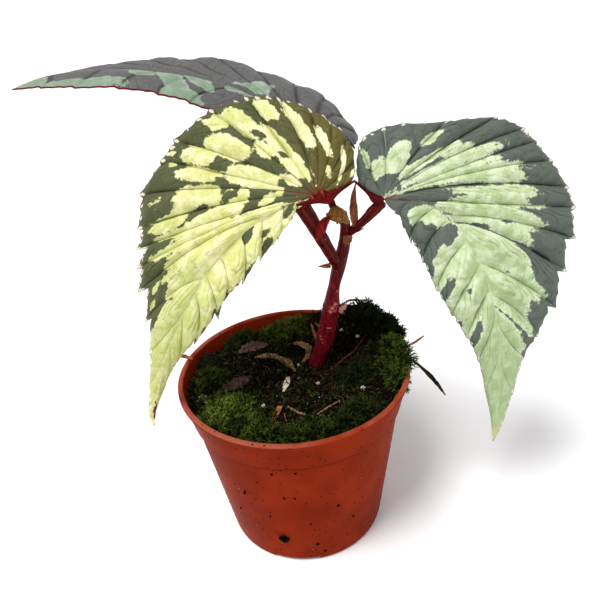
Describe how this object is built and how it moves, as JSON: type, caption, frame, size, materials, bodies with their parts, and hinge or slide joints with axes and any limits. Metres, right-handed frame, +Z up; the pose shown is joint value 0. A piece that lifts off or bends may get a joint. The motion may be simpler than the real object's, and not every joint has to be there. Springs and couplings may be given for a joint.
{
  "type": "potted rex begonia",
  "caption": "Rex begonia in a nursery pot: one crimson cane, asymmetric toothed leaves with pale blotches on red stalks, and mossy potting mix heaped over the rim.",
  "frame": {"origin": "centre of the pot's underside, on the surface it stands on", "axes": "+Z up along the pot's axis, -Y towards the front, where the two near leaves face, +X to the right as seen from the front"},
  "size_m": [0.2482, 0.144, 0.2448],
  "materials": {
    "pot": "satin terracotta-coloured plastic with scattered dirt specks",
    "potting_mix": "dark crumbly peat with bark and fibres",
    "stem": "glossy dark crimson with pale scars",
    "petiole": "glossy ridged dark red stalk",
    "leaf_olive": "satin quilted leaf, pale yellow-green blotches on olive, red beneath",
    "leaf_grey": "satin quilted leaf, pale sage blotches on dark grey-green, red beneath",
    "leaf_mint": "satin quilted leaf, mint-grey blotches on grey, red beneath",
    "young_leaf": "hairy folded olive-brown leaf",
    "stipule": "dry matt red-brown scale",
    "bract": "thin red scale",
    "moss": "tufted green moss",
    "dark_leaf": "dark green-black foliage",
    "bark": "weathered grey-brown bark",
    "twig": "dry brown twig and root fibre",
    "dry_leaf": "papery rust-brown dry leaf",
    "pale_flake": "papery pale flake",
    "perlite": "matt white grain"
  },
  "bodies": {
    "root": {"pot": "pot", "potting_mix": "potting_mix", "main_stem": "stem", "leaf_left": "leaf_olive", "leaf_right": "leaf_grey", "leaf_back": "leaf_mint", "petiole_left": "petiole", "petiole_right": "petiole", "petiole_back": "petiole", "young_leaf": "young_leaf", "stipule_upright": "stipule", "bract_hanging": "bract", "stipule_right_node": "stipule", "stipule_lower_left": "bract", "stem_stub": "stipule", "moss_cushion_1": "moss", "moss_cushion_2": "moss", "moss_cushion_3": "moss", "moss_cushion_4": "moss", "moss_cushion_5": "moss", "moss_cushion_6": "moss", "moss_cushion_7": "moss", "moss_cushion_8": "moss", "moss_spill_right": "moss", "moss_spill_back": "moss", "dark_leaf_lump": "dark_leaf", "grey_lump": "bark", "bark_flake_back": "bark", "bark_flake_left": "bark", "dry_twig_curl": "twig", "orange_flake": "dry_leaf", "white_flake": "pale_flake", "twig_front": "twig", "twig_front_right": "twig", "surface_root": "twig", "twig_back_right": "twig", "dry_stipule_curl": "dry_leaf", "grass_curl": "dark_leaf", "twig_over_rim": "twig", "dark_blade": "dark_leaf", "dried_petal": "dry_leaf", "dirt_clod": "potting_mix", "perlite_1": "perlite", "perlite_2": "perlite", "perlite_3": "perlite", "perlite_4": "perlite", "perlite_5": "perlite", "perlite_6": "perlite", "perlite_7": "perlite"}
  },
  "joints": []
}
